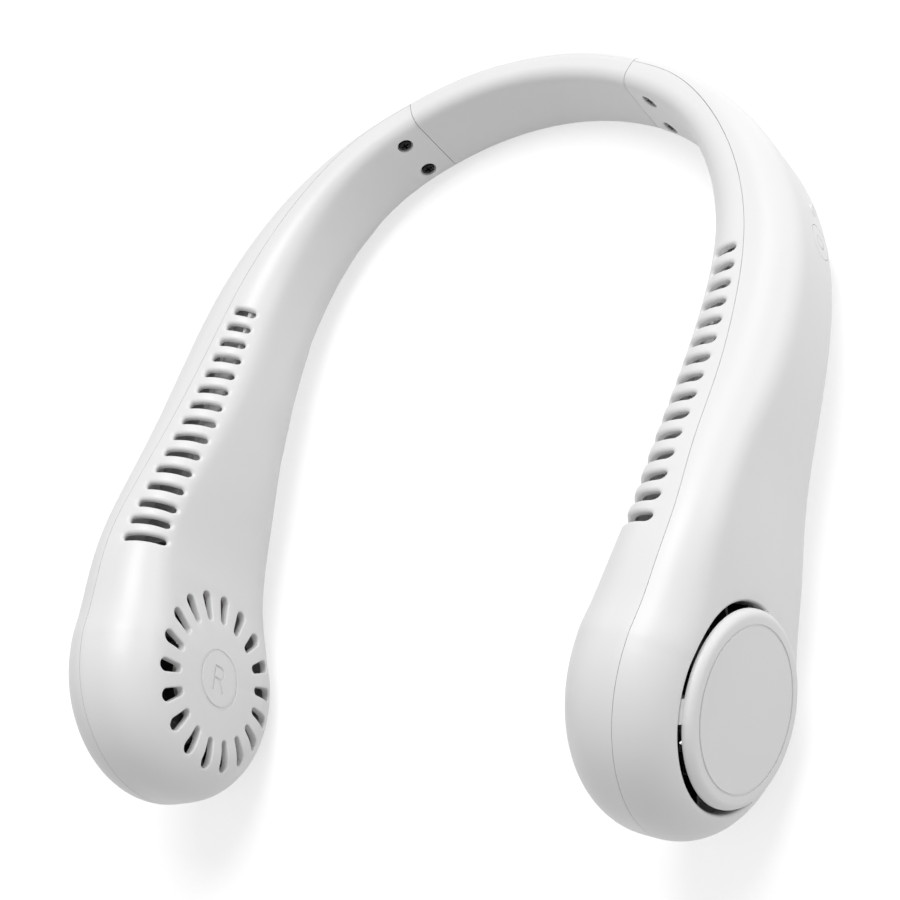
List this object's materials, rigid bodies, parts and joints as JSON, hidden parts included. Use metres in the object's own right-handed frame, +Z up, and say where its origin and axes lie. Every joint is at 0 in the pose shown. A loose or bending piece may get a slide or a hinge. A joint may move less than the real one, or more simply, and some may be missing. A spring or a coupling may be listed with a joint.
{
  "type": "neck fan",
  "caption": "Open collar worn round the neck: hollow arms that swell to round blower ends, with air slots along the arms, a power button and a slim flexible band behind the neck.",
  "frame": {"origin": "middle of the bounding box, on the surface that the fan lies on", "axes": "+X across the arms towards the arm marked L, +Y from the round ends towards the neckband, +Z up, out of the side with the air slots"},
  "size_m": [0.185, 0.2058, 0.0635],
  "materials": {
    "white_abs": "satin moulded",
    "white_band": "satin moulded",
    "grey_abs": "moulded",
    "black_plastic": "moulded",
    "motor_steel": "drawn",
    "sintered_bronze": "sintered",
    "black_screws": "blackened",
    "cell_foil": "foil pouch",
    "green_board": "solder mask",
    "lamp_lens": "moulded",
    "socket_steel": "stamped",
    "spring_steel": "rolled",
    "cable_jacket": "extruded"
  },
  "bodies": {
    "neckband": {"neckband": "white_band", "band_spine": "spring_steel", "link_cable": "cable_jacket"},
    "left_arm": {"left_inner_shell": "white_abs", "left_outer_shell": "white_abs", "left_intake_cap": "white_abs", "left_motor_can": "motor_steel", "left_motor_bush": "sintered_bronze", "left_motor_screws": "black_screws", "left_air_divider": "grey_abs", "left_battery_cell": "cell_foil", "left_band_insert": "grey_abs", "left_band_screws": "black_screws", "control_board": "green_board", "tact_switch": "black_plastic", "status_lamp": "lamp_lens", "charge_socket": "socket_steel"},
    "right_arm": {"right_inner_shell": "white_abs", "right_outer_shell": "white_abs", "right_intake_cap": "white_abs", "right_motor_can": "motor_steel", "right_motor_bush": "sintered_bronze", "right_motor_screws": "black_screws", "right_air_divider": "grey_abs", "right_battery_cell": "cell_foil", "right_band_insert": "grey_abs", "right_band_screws": "black_screws"},
    "left_rotor": {"left_impeller": "black_plastic", "left_motor_shaft": "motor_steel"},
    "right_rotor": {"right_impeller": "black_plastic", "right_motor_shaft": "motor_steel"},
    "power_button": {"power_button": "white_abs"}
  },
  "joints": [
    {"name": "left_arm_spread", "type": "hinge", "parent": "neckband", "child": "left_arm", "pos_m": [0.01718, 0.09608, 0.01313], "axis": [0, 0.1013, 0.9949], "range_deg": [-5, 12], "stiffness_Nm_per_rad": 2, "deforming": ["neckband", "band_spine", "link_cable"]},
    {"name": "right_arm_spread", "type": "hinge", "parent": "neckband", "child": "right_arm", "pos_m": [-0.01718, 0.09608, 0.01313], "axis": [0, -0.1013, -0.9949], "range_deg": [-5, 12], "stiffness_Nm_per_rad": 2, "deforming": ["neckband", "band_spine", "link_cable"]},
    {"name": "left_impeller_spin", "type": "hinge", "parent": "left_arm", "child": "left_rotor", "pos_m": [0.07383, -0.07271, 0.03062], "axis": [0.9853, -0.1596, 0.0601], "continuous": true},
    {"name": "right_impeller_spin", "type": "hinge", "parent": "right_arm", "child": "right_rotor", "pos_m": [-0.07383, -0.07271, 0.03062], "axis": [-0.9853, -0.1596, 0.0601], "continuous": true},
    {"name": "power_button_press", "type": "slide", "parent": "left_arm", "child": "power_button", "axis": [-0.9791, -0.2022, 0.0206], "range_m": [0, 0.0005], "stiffness_N_per_m": 2000}
  ]
}
